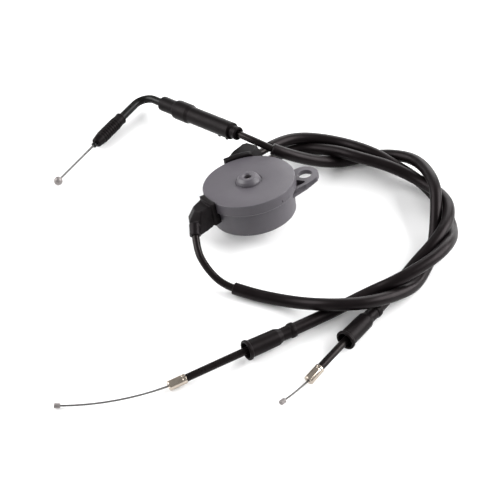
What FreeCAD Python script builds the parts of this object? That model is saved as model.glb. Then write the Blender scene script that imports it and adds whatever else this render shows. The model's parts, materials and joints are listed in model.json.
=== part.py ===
"""Throttle cable splitter set: a round drum with one cable in and two cables out.

Units are millimetres and degrees. +Z is up, +X runs from the elbow side to the loop of
cables. The origin lies on the ground, under the middle of the drum with its lug and plugs.
The drum leans, so its pieces are drawn in the drum's own frame (Z along the pulley pin,
origin in the middle of the housing's bottom) and then carried over by one placement.
"""
import FreeCAD, Part
import Sketcher
import math
import os

from FreeCAD import Placement, Rotation, Vector

# ---------------------------------------------------------------- driving dimensions

SIZES = {
    # where the drum stands and how it leans
    "drum_x": 0.1,
    "drum_y": -7.5,
    "drum_z": 7.2,
    "lean_angle": 15.4,
    "lean_heading": 130.3,
    "lean_spin": -123.0,
    # cover
    "cover_radius": 29.0,
    "cover_inner_radius": 27.15,
    "cover_top": 23.5,
    "cover_under": 21.3,
    "rim_bottom": 15.8,
    "edge_chamfer": 0.6,
    "boss_base_radius": 7.7,
    "boss_top_radius": 5.3,
    "boss_top": 27.2,
    "boss_hole_radius": 2.35,
    "moat_radius": 8.4,
    "moat_depth": 0.4,
    # housing and lug
    "housing_radius": 27.0,
    "housing_bottom_radius": 26.5,
    "housing_inner_radius": 25.0,
    "housing_top": 21.0,
    "floor_thickness": 2.2,
    "bearing_boss_radius": 6.0,
    "bearing_boss_top": 6.2,
    "head_recess_radius": 4.6,
    "head_recess_depth": 1.0,
    "lug_top": 15.7,
    "lug_thickness": 3.0,
    "lug_rib_height": 5.5,
    "lug_hole_radius": 4.45,
    "lug_hole_x": 35.3,
    "lug_hole_y": 7.1,
    # pulley and pin
    "pin_radius": 2.25,
    "pin_head_radius": 4.3,
    "pin_shoulder": 22.6,
    "pin_tip_radius": 1.3,
    "pin_tip": 25.4,
    "running_gap": 0.05,
    "pulley_radius": 23.3,
    "pulley_bottom": 6.4,
    "pulley_top": 20.8,
    "hub_radius": 5.5,
    "pulley_rim_inner": 17.5,
    "web_bottom": 12.4,
    "web_top": 15.4,
    "groove_root": 21.3,
    "groove_half_width": 0.9,
    "wire_lay_radius": 22.0,
    "carb_level": 18.2,
    "grip_level": 13.9,
    "pump_level": 8.5,
    "barrel_radius": 1.5,
    "barrel_height": 4.0,
    "pulley_travel": 39.0,
    # cables
    "casing_radius": 2.3,
    "casing_bore": 1.5,
    "sleeve_radius": 3.8,
    "sleeve_bore": 2.45,
    "wire_radius": 0.6,
    "socket_radius": 2.35,
    "socket_depth": 6.0,
    "nozzle_radius": 3.5,
    # rubber boots on the output cables
    "boot_length": 33.0,
    "boot_ring_radius": 4.6,
    "boot_neck_radius": 4.0,
    "boot_radius": 5.3,
    "boot_lip_radius": 6.2,
    "boot_ring_bore": 4.15,
    "boot_neck_bore": 2.6,
    "boot_bell_bore": 4.4,
    "boot_slide": 8.0,
    # ferrules and nipples of the output cables
    "ferrule_radius": 3.0,
    "ferrule_length": 11.0,
    "ferrule_seat": 8.7,
    "ferrule_mouth": 1.25,
    "nipple_radius": 1.5,
    "nipple_length": 3.6,
    "carb_wire_bend": 165.0,
    "pump_wire_bend": 140.0,
    "wire_tail": 4.0,
    # grip end: stations along the two straight legs, counted from the elbow's corner
    "elbow_tube_radius": 2.75,
    "elbow_bend": 9.0,
    "elbow_tube_on_tip_leg": 40.0,
    "elbow_tube_on_boot_leg": 34.0,
    "tip_start": 26.0,
    "tip_collar_radius": 3.9,
    "tip_rib_radius": 4.3,
    "tip_groove_radius": 3.85,
    "tip_nose_radius": 3.35,
    "cap_radius": 1.8,
    "ball_radius": 2.85,
    "grip_wire_inner_end": 32.0,
    "boot_start": 19.0,
    "big_boot_end_radius": 5.0,
    "big_boot_step_radius": 6.5,
    "big_boot_body_radius": 5.6,
    "big_boot_neck_radius": 3.95,
    "adjuster_start": 27.0,
    "adjuster_radius": 3.5,
    "nut_station": 38.0,
    "nut_height": 3.5,
    "nut_flat": 4.3,
    "barrel_start": 42.5,
    "barrel_body_radius": 4.3,
    "casing_seat": 78.0,
}

doc = FreeCAD.newDocument("ThrottleCableSplitter")
sheet = doc.addObject("Spreadsheet::Sheet", "Sizes")
for line, (alias, amount) in enumerate(SIZES.items(), start=1):
    sheet.set(f"A{line}", alias)
    sheet.set(f"B{line}", str(amount))
    sheet.setAlias(f"B{line}", alias)
doc.recompute()

nodes = []


def number(formula):
    """A formula's value: names of the sheet and plain numbers, joined by + and -."""
    total, sign = 0.0, 1.0
    for word in str(formula).split():
        if word in "+-":
            sign = 1.0 if word == "+" else -1.0
        else:
            total += sign * (SIZES[word] if word in SIZES else float(word))
    return total


def bound(formula):
    """The same formula as an expression on the sheet."""
    return " ".join(f"Sizes.{word}" if word in SIZES else word for word in str(formula).split())


def bind(thing, **formulas):
    for prop, formula in formulas.items():
        thing.setExpression(prop, bound(formula))


def keep(thing, name):
    """Name a finished sub-part."""
    thing.Label = name
    nodes.append(thing)
    return thing


# ---------------------------------------------------------------- frames

DRUM = Placement(
    Vector(SIZES["drum_x"], SIZES["drum_y"], SIZES["drum_z"]),
    Rotation(Vector(0, 0, 1), SIZES["lean_heading"])
    * Rotation(Vector(0, 1, 0), SIZES["lean_angle"])
    * Rotation(Vector(0, 0, 1), SIZES["lean_spin"]),
)


def along(point, direction):
    """A placement at point whose Z axis is direction."""
    return Placement(Vector(point), Rotation(Vector(0, 0, 1), Vector(direction)))


def unit(vector):
    return Vector(vector).normalize()


# ---------------------------------------------------------------- sketches and bodies

def draw_outline(sketch, corners):
    """A closed outline whose corners are tied to the sketch's origin by formulas."""
    count = len(corners)
    places = [Vector(number(x), number(y), 0) for x, y in corners]
    for index in range(count):
        sketch.addGeometry(Part.LineSegment(places[index], places[(index + 1) % count]), False)
    for index in range(count):
        sketch.addConstraint(Sketcher.Constraint("Coincident", index, 2, (index + 1) % count, 1))
    for index, corner in enumerate(corners):
        for kind, axis, formula in (("DistanceX", -2, corner[0]), ("DistanceY", -1, corner[1])):
            distance = number(formula)
            if abs(distance) < 1e-9:
                sketch.addConstraint(Sketcher.Constraint("PointOnObject", index, 1, axis))
            else:
                rule = Sketcher.Constraint(kind, -1, 1, index, 1, distance)
                place = sketch.addConstraint(rule)
                sketch.setExpression(f"Constraints[{place}]", bound(formula))


def body_sketch(body, name, role):
    sketch = body.newObject("Sketcher::SketchObject", name)
    plane = next(item for item in body.Origin.OriginFeatures if item.Role == role)
    sketch.AttachmentSupport = [(plane, "")]
    sketch.MapMode = "FlatFace"
    return sketch


def revolved(name, corners):
    """A body turned about its own Z axis from (radius, height) corners."""
    body = doc.addObject("PartDesign::Body", name + "_body")
    sketch = body_sketch(body, name + "_profile", "XZ_Plane")
    draw_outline(sketch, corners)
    turn = body.newObject("PartDesign::Revolution", name + "_turn")
    turn.Profile = sketch
    turn.ReferenceAxis = (sketch, ["V_Axis"])
    turn.Angle = 360
    body.Tip = turn
    return body


def add_pad(body, name, corners, bottom, height, cut=False):
    """Add or cut an upright prism of the body, from bottom up by height."""
    sketch = body_sketch(body, name + "_outline", "XY_Plane")
    sketch.setExpression("AttachmentOffset.Base.z", bound(bottom))
    draw_outline(sketch, corners)
    kind = "PartDesign::Pocket" if cut else "PartDesign::Pad"
    prism = body.newObject(kind, name)
    prism.Profile = sketch
    prism.Reversed = cut
    bind(prism, Length=height)
    body.Tip = prism
    return prism


def add_round_pocket(body, name, x, y, radius, bottom, height):
    sketch = body_sketch(body, name + "_circle", "XY_Plane")
    sketch.setExpression("AttachmentOffset.Base.z", bound(bottom))
    centre = Vector(number(x), number(y), 0)
    sketch.addGeometry(Part.Circle(centre, Vector(0, 0, 1), number(radius)), False)
    for kind, formula in (("DistanceX", x), ("DistanceY", y)):
        place = sketch.addConstraint(Sketcher.Constraint(kind, -1, 1, 0, 3, number(formula)))
        sketch.setExpression(f"Constraints[{place}]", bound(formula))
    place = sketch.addConstraint(Sketcher.Constraint("Radius", 0, number(radius)))
    sketch.setExpression(f"Constraints[{place}]", bound(radius))
    pocket = body.newObject("PartDesign::Pocket", name)
    pocket.Profile = sketch
    pocket.Reversed = True
    bind(pocket, Length=height)
    body.Tip = pocket
    return pocket


def cylinder(name, radius, height, place):
    """A round bar or a drill, from place along its Z axis."""
    bar = doc.addObject("Part::Cylinder", name)
    bind(bar, Radius=radius, Height=height)
    bar.Placement = place
    return bar


def lofted(name, sections, place):
    """A block through flat outlines: sections are (height, corners)."""
    sketches = []
    for index, (height, corners) in enumerate(sections):
        sketch = doc.addObject("Sketcher::SketchObject", f"{name}_section{index}")
        draw_outline(sketch, corners)
        sketch.Placement = place * Placement(Vector(0, 0, number(height)), Rotation())
        sketches.append(sketch)
    block = doc.addObject("Part::Loft", name)
    block.Sections = sketches
    block.Solid = True
    block.Ruled = True
    return block


def joined(name, parts):
    fuse = doc.addObject("Part::MultiFuse", name)
    fuse.Shapes = parts
    return fuse


def cut_from(name, base, tools):
    cut = doc.addObject("Part::Cut", name)
    cut.Base = base
    cut.Tool = joined(name + "_tools", tools) if len(tools) > 1 else tools[0]
    return cut


# ---------------------------------------------------------------- wires to the drum

def tangent_foot(point, side):
    """Where a straight wire from point leaves the wire circle; side +1 is counterclockwise."""
    reach = math.hypot(point.x, point.y)
    spread = math.acos(SIZES["wire_lay_radius"] / reach)
    angle = math.atan2(point.y, point.x) + side * spread
    radius = SIZES["wire_lay_radius"]
    return Vector(radius * math.cos(angle), radius * math.sin(angle), point.z), math.degrees(angle)


def outlet_on_drum(x, y, level, heading, dip):
    """Where a casing is seated and the way it leaves, both in the drum's frame."""
    flat = math.cos(math.radians(dip))
    aim = Vector(
        flat * math.cos(math.radians(heading)),
        flat * math.sin(math.radians(heading)),
        -math.sin(math.radians(dip)),
    )
    return Vector(x, y, level), aim


# Each outlet: where the casing is seated in the plug, and the way the casing leaves.
GRIP_SEAT, GRIP_AIM = outlet_on_drum(-37.7, -25.9, SIZES["grip_level"], 261.3, 35.5)
CARB_SEAT, CARB_AIM = outlet_on_drum(6.3, 36.4, SIZES["carb_level"], 40.7, 0.0)
PUMP_SEAT, PUMP_AIM = outlet_on_drum(6.3, 36.4, SIZES["pump_level"], 40.7, 0.0)

grip_foot, grip_angle = tangent_foot(GRIP_SEAT, -1)
carb_foot, carb_angle = tangent_foot(CARB_SEAT, 1)
pump_foot, pump_angle = tangent_foot(PUMP_SEAT, 1)


def drum_drill(name, radius, foot, seat, extra=0.0):
    """A bar along a wire's straight lead, from the pulley to the outlet."""
    way = seat - foot
    return cylinder(name, radius, f"{way.Length + extra:.4f}", DRUM * along(foot, way))


# ---------------------------------------------------------------- drum

def make_cover():
    body = revolved("drum_cover", [
        ("boss_hole_radius", "cover_under"),
        ("cover_inner_radius", "cover_under"),
        ("cover_inner_radius", "rim_bottom"),
        ("cover_radius - 0.35", "rim_bottom"),
        ("cover_radius - 0.35", "rim_bottom + 0.5"),
        ("cover_radius", "rim_bottom + 0.9"),
        ("cover_radius", "cover_top - edge_chamfer"),
        ("cover_radius - edge_chamfer", "cover_top"),
        ("moat_radius", "cover_top"),
        ("moat_radius", "cover_top - moat_depth"),
        ("boss_base_radius", "cover_top - moat_depth"),
        ("boss_base_radius", "cover_top + 0.9"),
        ("boss_top_radius + 0.6", "boss_top - 0.6"),
        ("boss_top_radius", "boss_top"),
        ("boss_hole_radius + 0.5", "boss_top"),
        ("boss_hole_radius", "boss_top - 0.5"),
    ])
    body.Placement = DRUM
    drill = drum_drill("cover_wire_hole", "wire_radius + 1", carb_foot, CARB_SEAT)
    return keep(cut_from("cover_drilled", body, [drill]), "drum_cover")


def make_housing():
    body = revolved("housing", [
        ("pin_radius + 0.02", "head_recess_depth"),
        ("head_recess_radius", "head_recess_depth"),
        ("head_recess_radius", "0"),
        ("housing_bottom_radius - 0.5", "0"),
        ("housing_bottom_radius", "0.5"),
        ("housing_radius", "rim_bottom - 0.4"),
        ("housing_radius", "housing_top"),
        ("housing_inner_radius", "housing_top"),
        ("housing_inner_radius - 0.4", "floor_thickness"),
        ("bearing_boss_radius", "floor_thickness"),
        ("bearing_boss_radius", "bearing_boss_top"),
        ("pin_radius + 0.02", "bearing_boss_top"),
    ])
    # the lug: a flat plate with a deeper rib along its front edge
    add_pad(body, "lug_plate", [
        ("23", "12.0"), ("29", "15.6"), ("35.5", "16.4"), ("40.6", "13.6"), ("43.2", "9.6"),
        ("43.8", "5.4"), ("42.4", "0.8"), ("34.7", "-5.0"), ("25.2", "-9.7"), ("24.5", "0"),
    ], "lug_top - lug_thickness", "lug_thickness")
    add_pad(body, "lug_rib", [
        ("42.9", "2.4"), ("42.4", "0.8"), ("34.7", "-5.0"), ("25.2", "-9.7"), ("24.8", "-7.9"),
        ("33.9", "-3.2"), ("41.2", "2.4"),
    ], "lug_top - lug_rib_height", "lug_rib_height")
    add_round_pocket(body, "lug_hole", "lug_hole_x", "lug_hole_y", "lug_hole_radius",
                     "lug_top - 8", "10")
    add_pad(body, "lug_pocket", [
        ("28.6", "1.4"), ("29.6", "1.8"), ("33.6", "-0.6"), ("34.1", "-2.3"), ("28.2", "-5.4"),
    ], "lug_top - lug_thickness - 0.5", "lug_thickness + 1", cut=True)
    body.Placement = DRUM
    drills = [
        drum_drill("grip_wire_hole", "wire_radius + 1", grip_foot, GRIP_SEAT),
        drum_drill("carb_wire_hole", "wire_radius + 1", carb_foot, CARB_SEAT),
        drum_drill("pump_wire_hole", "wire_radius + 1", pump_foot, PUMP_SEAT),
    ]
    return keep(cut_from("housing_drilled", body, drills), "drum_housing")


def groove_corners(level):
    """Three corners of one groove, from its lower lip to its upper lip."""
    return [
        ("pulley_radius", f"{level} - groove_half_width - 0.4"),
        ("groove_root", f"{level} - groove_half_width"),
        ("groove_root", f"{level} + groove_half_width"),
        ("pulley_radius", f"{level} + groove_half_width + 0.4"),
    ]


def on_circle(radius, angle, height=0.0):
    turn = math.radians(angle)
    return Vector(radius * math.cos(turn), radius * math.sin(turn), height)


# where the barrel nipples sit on the pulley, and how far each wire is laid round it
WRAPS = {
    "grip": (grip_angle, -100.0, "grip_level"),
    "carb": (carb_angle, 62.0, "carb_level"),
    "pump": (pump_angle, 62.0, "pump_level"),
}


def make_pulley():
    corners = [
        ("pin_radius + running_gap", "pulley_bottom"),
        ("hub_radius", "pulley_bottom"),
        ("hub_radius", "web_bottom"),
        ("pulley_rim_inner", "web_bottom"),
        ("pulley_rim_inner", "pulley_bottom"),
        ("pulley_radius", "pulley_bottom"),
    ]
    for level in ("pump_level", "grip_level", "carb_level"):
        corners += groove_corners(level)
    corners += [
        ("pulley_radius", "pulley_top"),
        ("pulley_rim_inner", "pulley_top"),
        ("pulley_rim_inner", "web_top"),
        ("hub_radius", "web_top"),
        ("hub_radius", "pulley_top"),
        ("pin_radius + running_gap", "pulley_top"),
    ]
    body = revolved("pulley", corners)
    body.Placement = DRUM
    pockets = []
    for name, (start, wrap, level) in WRAPS.items():
        seat = on_circle(SIZES["wire_lay_radius"], start + wrap, SIZES[level] - 2.1)
        pocket = cylinder(name + "_pocket", "barrel_radius + 0.1", "barrel_height + 0.2",
                          DRUM * Placement(seat, Rotation()))
        pockets.append(pocket)
    return keep(cut_from("pulley_pocketed", body, pockets), "drum_pulley")


def make_pin():
    body = revolved("pin", [
        ("0", "0.1"),
        ("pin_head_radius - 0.6", "0.1"),
        ("pin_head_radius", "0.5"),
        ("pin_head_radius", "head_recess_depth"),
        ("pin_radius", "head_recess_depth"),
        ("pin_radius", "pin_shoulder"),
        ("pin_tip_radius", "pin_shoulder + 0.3"),
        ("pin_tip_radius", "pin_tip - 0.4"),
        ("0", "pin_tip"),
    ])
    body.Placement = DRUM
    return keep(body, "pulley_pin")


def make_inner_wires():
    """Barrel nipples, the wire laid round the pulley, and the straight leads to the outlets."""
    leads = {"grip": (grip_foot, GRIP_SEAT), "carb": (carb_foot, CARB_SEAT),
             "pump": (pump_foot, PUMP_SEAT)}
    for name, (start, wrap, level) in WRAPS.items():
        end = start + wrap
        seat = on_circle(SIZES["wire_lay_radius"], end, SIZES[level] - SIZES["barrel_height"] / 2)
        barrel = cylinder(name + "_barrel_bar", "barrel_radius", "barrel_height",
                          DRUM * Placement(seat, Rotation()))
        keep(barrel, name + "_barrel")
        nipple_share = math.degrees((SIZES["barrel_radius"] + 0.05) / SIZES["wire_lay_radius"])
        lay = doc.addObject("Part::Torus", name + "_lay")
        bind(lay, Radius1="wire_lay_radius", Radius2="wire_radius")
        # the grip wire leaves its groove as the pulley turns, so only what stays on is laid
        leaving_share = 1.0 if wrap > 0 else 1.0 + SIZES["pulley_travel"]
        lay.Angle3 = abs(wrap) - nipple_share - leaving_share
        first = min(start, end) + (1.0 if wrap > 0 else nipple_share)
        lay.Placement = DRUM * Placement(Vector(0, 0, SIZES[level]),
                                         Rotation(Vector(0, 0, 1), first))
        keep(lay, name + "_wrap")
        foot, seat = leads[name]
        keep(drum_drill(name + "_lead_bar", "wire_radius", foot, seat, extra=-0.5), name + "_lead")


# ---------------------------------------------------------------- outlet plugs

def drum_envelope(name):
    """The drum as a plug must clear it: wide at the cover's rim, narrower below."""
    rim = cylinder(name + "_rim", "cover_radius + 0.05", "20",
                   DRUM * Placement(Vector(0, 0, SIZES["rim_bottom"] - 0.1), Rotation()))
    wall = cylinder(name + "_wall", "housing_radius + 0.05", "60",
                    DRUM * Placement(Vector(0, 0, -20), Rotation()))
    return [rim, wall]


def nozzle_and_socket(name, seat, aim):
    place = DRUM * along(seat, aim)
    nozzle = cylinder(name + "_nozzle", "nozzle_radius", "socket_depth + 2",
                      place * Placement(Vector(0, 0, -3), Rotation()))
    socket = cylinder(name + "_socket", "socket_radius", "40", place)
    return nozzle, socket


def make_plug(label, block_sections, flange_first, flange_sweep, outlets, drills):
    block = lofted(label + "_block", block_sections, DRUM)
    flange = doc.addObject("Part::Cylinder", label + "_flange")
    bind(flange, Radius="cover_radius + 3.6", Height="cover_top + 1.5 - 9")
    flange.Angle = flange_sweep
    flange.Placement = DRUM * Placement(Vector(0, 0, 9), Rotation(Vector(0, 0, 1), flange_first))
    nozzles, sockets = zip(*[nozzle_and_socket(f"{label}{index}", *outlet)
                             for index, outlet in enumerate(outlets)])
    solid = joined(label + "_solid", [block, flange, *nozzles])
    tools = drum_envelope(label) + list(sockets)
    for index, (foot, seat) in enumerate(drills):
        tools.append(drum_drill(f"{label}_channel{index}", "wire_radius + 0.6", foot, seat, 0.1))
    return keep(cut_from(label + "_cut", solid, tools), label)


def make_plugs():
    make_plug("input_plug", [
        ("9", [("-27", "-6"), ("-36.5", "-9.5"), ("-41.2", "-16"), ("-40.2", "-22.5"),
               ("-35.2", "-28"), ("-26.8", "-20.8")]),
        ("16.5", [("-27", "-6"), ("-36.8", "-8.5"), ("-40.6", "-15.2"), ("-40.3", "-21.5"),
                  ("-33.8", "-26"), ("-24", "-17.5")]),
        ("23", [("-27", "-8"), ("-31.5", "-9.5"), ("-36.1", "-15"), ("-35.6", "-20"),
                ("-31.9", "-23"), ("-23", "-18.5")]),
    ], 194.5, 25.1, [(GRIP_SEAT, GRIP_AIM)], [(grip_foot, GRIP_SEAT)])
    make_plug("output_plug", [
        ("4.4", [("-10", "26"), ("-6", "37"), ("0.5", "43.5"), ("5", "44.5"),
                 ("13", "37.5"), ("9.5", "26")]),
        ("19", [("-10.5", "27"), ("-6.4", "37.5"), ("0.6", "44.6"), ("4.6", "45.6"),
                ("12", "37.4"), ("8.4", "27")]),
        ("24.6", [("-12", "27"), ("-6.2", "37"), ("0.8", "43.8"), ("3.7", "44.6"),
                  ("9.8", "38.4"), ("4.6", "27")]),
    ], 82.0, 31.8, [(CARB_SEAT, CARB_AIM), (PUMP_SEAT, PUMP_AIM)],
        [(carb_foot, CARB_SEAT), (pump_foot, PUMP_SEAT)])


# ---------------------------------------------------------------- cable routes

# The grip end: the elbow's corner, the ball at rest and the far end of its boot leg.
ELBOW_CORNER = Vector(-75.5, 104.2, 7.0)
BALL = Vector(-126.9, 24.9, 3.0)
BOOT_LEG_END = Vector(-8.1, 38.3, 30.5)
TIP_WAY = unit(BALL - ELBOW_CORNER)
BOOT_WAY = unit(BOOT_LEG_END - ELBOW_CORNER)


def on_leg(way, station):
    return ELBOW_CORNER + way * station


def leaving(seat, aim, first_run):
    """The first two corners of a cable that is seated in the drum's plug."""
    start = DRUM.multVec(seat)
    return [start, start + DRUM.Rotation.multVec(aim) * first_run]


# Each route is a list of corners chosen by hand. The cable runs straight between them and
# turns on an arc as large as the two runs allow.
GRIP_ROUTE = leaving(GRIP_SEAT, GRIP_AIM, 13.6) + [
    (-29.0, -58.5, 10.5), (-19.5, -66.5, 5.0), (-3.5, -72.5, 4.0), (9.0, -76.5, 4.0),
    (25.5, -82.0, 6.0), (44.0, -91.0, 14.5), (66.0, -91.0, 16.0), (91.0, -75.5, 8.5),
    (100.5, -62.0, 3.8), (110.0, -37.5, 4.0), (112.0, -15.0, 19.5), (113.0, 3.5, 22.5),
    (106.0, 31.0, 15.0), (92.0, 44.0, 8.5), (72.5, 47.0, 4.0), (50.5, 39.0, 3.8),
    (18.0, 26.0, 25.5), on_leg(BOOT_WAY, 99.0), on_leg(BOOT_WAY, SIZES["casing_seat"]),
]
CARB_ROUTE = leaving(CARB_SEAT, CARB_AIM, 18.0) + [
    (28.0, 56.5, 12.5), (51.5, 57.0, 9.0), (75.0, 41.5, 14.0), (90.0, 34.0, 9.0),
    (109.0, 22.0, 3.8), (120.0, -0.5, 4.0), (123.5, -19.0, 4.0), (118.5, -44.0, 13.0),
    (105.5, -59.0, 20.0), (85.0, -72.5, 16.5), (67.5, -75.0, 7.0), (41.5, -89.5, 3.8),
    (-7.0, -120.0, 7.0), (-47.0, -140.5, 3.4),
]
PUMP_ROUTE = leaving(PUMP_SEAT, PUMP_AIM, 15.5) + [
    (30.5, 50.0, 7.0), (52.5, 46.0, 11.5), (66.5, 34.5, 15.0), (87.5, 27.0, 14.0),
    (106.0, 17.0, 10.5), (120.5, -2.0, 14.0), (121.0, -23.5, 17.5), (110.0, -42.0, 17.5),
    (96.0, -54.0, 9.0), (80.5, -74.5, 3.8), (47.5, -117.0, 7.0), (31.5, -136.0, 3.6),
]

# share of the first arc where each output cable's sleeve begins
SLEEVE_STARTS = {"carb": 0.4, "pump": 0.6}
# stations in millimetres along the last two runs of each output cable
BOOT_RUN_STATIONS = {"carb": 22.5, "pump": 13.9}
FERRULE_STATIONS = {"carb": 36.5, "pump": 16.6}
NIPPLES = {"carb": Vector(-110.8, -154.3, 2.0), "pump": Vector(15.3, -151.4, 2.0)}


class Route:
    """Straight runs joined by tangent arcs through a list of corners."""

    def __init__(self, name, corners):
        self.corners = [Vector(*corner) for corner in corners]
        self.arcs = []
        for before, corner, after in zip(self.corners, self.corners[1:], self.corners[2:]):
            way_in, way_out = corner - before, after - corner
            turn = way_in.getAngle(way_out)
            setback = 0.45 * min(way_in.Length, way_out.Length)
            radius = setback / math.tan(turn / 2)
            entry = corner - unit(way_in) * setback
            leave = corner + unit(way_out) * setback
            middle_way = unit(unit(way_out) - unit(way_in))
            middle = corner + middle_way * (radius / math.cos(turn / 2) - radius)
            self.arcs.append((entry, middle, leave))
            print(f"{name}: corner {len(self.arcs)} radius {radius:.1f} turn "
                  f"{math.degrees(turn):.0f} run {way_in.Length:.1f}")

    def run_point(self, run, share):
        """A point on a run, share of the way from its first corner to its second."""
        first, second = self.corners[run], self.corners[run + 1]
        return first + (second - first) * share

    def station(self, run, distance):
        """A point on a run at a distance from its first corner, and the run's direction."""
        way = unit(self.corners[run + 1] - self.corners[run])
        return self.corners[run] + way * distance, way

    def share(self, run, distance):
        return distance / (self.corners[run + 1] - self.corners[run]).Length

    def part_arc(self, corner, start, end):
        """The piece of a corner's arc between two shares of its length."""
        entry, middle, leave = self.arcs[corner - 1]
        arc = Part.Arc(entry, middle, leave).toShape()
        low, sweep = arc.FirstParameter, arc.LastParameter - arc.FirstParameter
        return arc.Curve.toShape(low + sweep * start, low + sweep * end)

    def edges(self, first=(0, 0.0), last=None):
        """Edges between two points on runs; a point is (run, share along it)."""
        last = last or (len(self.corners) - 2, 1.0)
        place = self.run_point(*first)
        path = []
        for entry, middle, leave in self.arcs[first[0]:last[0]]:
            path.append(Part.LineSegment(place, entry).toShape())
            path.append(Part.Arc(entry, middle, leave).toShape())
            place = leave
        path.append(Part.LineSegment(place, self.run_point(*last)).toShape())
        return path

    def edges_from_arc(self, corner, share, last):
        """Edges from a share of a corner's arc to a point on a later run."""
        path = self.edges((corner, 0.45), last)
        start = self.part_arc(corner, share, 1.0)
        first = Part.LineSegment(self.arcs[corner - 1][2], self.arcs[corner][0])
        return [start, first.toShape()] + path[1:]

    def edges_to_arc(self, first, corner, share):
        """Edges from a point on a run to a share of a later corner's arc."""
        path = self.edges(first, (corner - 1, 0.55))
        last = Part.LineSegment(self.arcs[corner - 2][2], self.arcs[corner - 1][0])
        return path[:-1] + [last.toShape(), self.part_arc(corner, 0.0, share)]


def pipe(path, radius):
    """A round bar along a path of edges."""
    spine = Part.Wire(path)
    start = path[0].valueAt(path[0].FirstParameter)
    aim = path[0].tangentAt(path[0].FirstParameter)
    circle = Part.Wire([Part.Circle(start, aim, radius).toShape()])
    return spine.makePipeShell([circle], True, False)


def tube(name, path, outer, inner):
    """A hollow tube along a path. Its volume is compared with its section times its length."""
    shape = pipe(path, SIZES[outer]).cut(pipe(path, SIZES[inner]))
    length = sum(edge.Length for edge in path)
    section = math.pi * (SIZES[outer] ** 2 - SIZES[inner] ** 2)
    share = shape.Volume / (section * length)
    print(f"{name}: length {length:.1f} volume over section times length {share:.4f}")
    if abs(share - 1) > 0.01:
        raise RuntimeError(f"{name} does not fill its path")
    feature = doc.addObject("Part::Feature", name + "_tube")
    feature.Shape = shape
    return keep(feature, name)


def make_cables():
    grip = Route("grip", GRIP_ROUTE)
    carb = Route("carb", CARB_ROUTE)
    pump = Route("pump", PUMP_ROUTE)
    tube("grip_casing", grip.edges(), "casing_radius", "casing_bore")
    tube("grip_sleeve", grip.edges_to_arc((3, 0.4), 18, 0.75), "sleeve_radius", "sleeve_bore")
    for name, route, run in (("carb", carb, 13), ("pump", pump, 11)):
        tube(name + "_casing", route.edges(), "casing_radius", "casing_bore")
        sleeve_end = route.share(run, BOOT_RUN_STATIONS[name] + 2.0)
        tube(name + "_sleeve", route.edges_from_arc(1, SLEEVE_STARTS[name], (run, sleeve_end)),
             "sleeve_radius", "sleeve_bore")
        make_output_end(name, route, run)


# ---------------------------------------------------------------- output cable ends

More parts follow.
